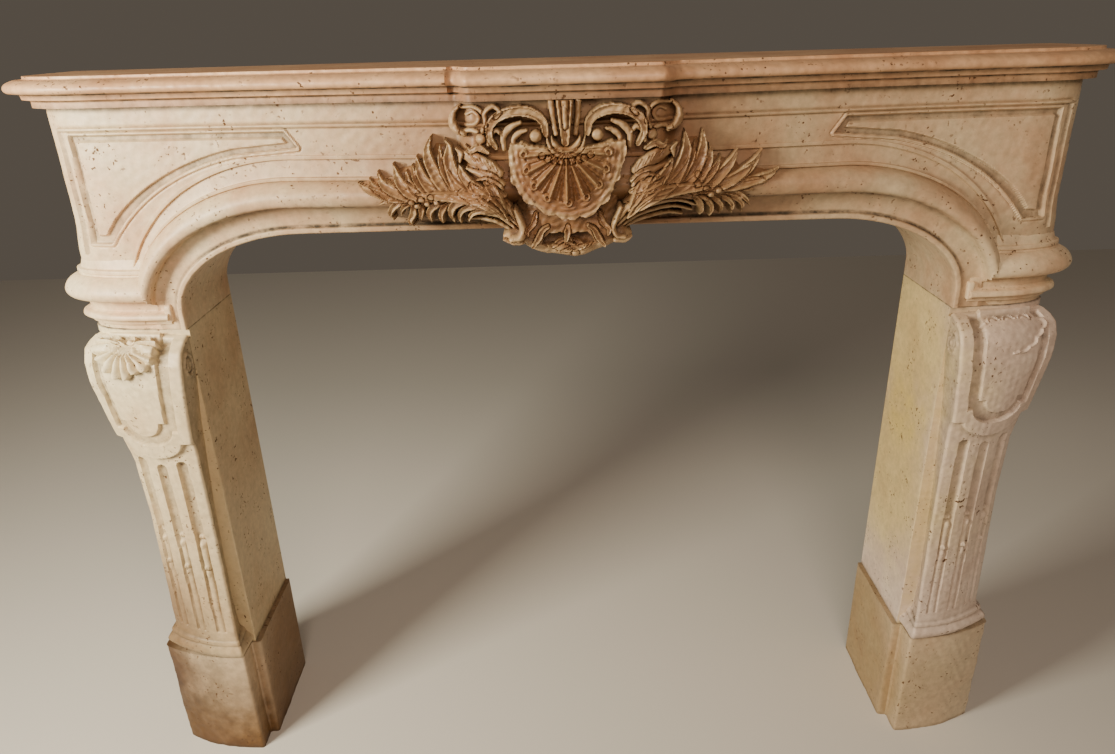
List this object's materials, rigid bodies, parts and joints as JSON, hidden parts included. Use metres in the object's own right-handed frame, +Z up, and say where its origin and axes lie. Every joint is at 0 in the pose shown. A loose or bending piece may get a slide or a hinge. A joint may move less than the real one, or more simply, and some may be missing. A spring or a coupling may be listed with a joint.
{
  "type": "fireplace mantel",
  "caption": "Carved limestone fireplace mantel: serpentine moulded shelf, arched lintel with a shell and acanthus centre, console jambs with cabled flutes, plain plinths.",
  "frame": {"origin": "on the floor, under the middle of the outline", "axes": "+Z up; +Y towards the wall, so the carved face looks to -Y; +X along the shelf, to the right seen from the front"},
  "size_m": [1.456, 0.272, 1.1],
  "materials": {
    "shelf_stone": "honed limestone with a pinkish cast and dark soiling under the edge",
    "lintel_stone": "honed pitted limestone, brown patina on the carving",
    "jamb_stone": "honed pitted limestone",
    "plinth_stone": "honed limestone, stained low down"
  },
  "bodies": {
    "root": {"shelf": "shelf_stone", "lintel": "lintel_stone", "left_jamb": "jamb_stone", "right_jamb": "jamb_stone", "left_plinth": "plinth_stone", "right_plinth": "plinth_stone"}
  },
  "joints": []
}
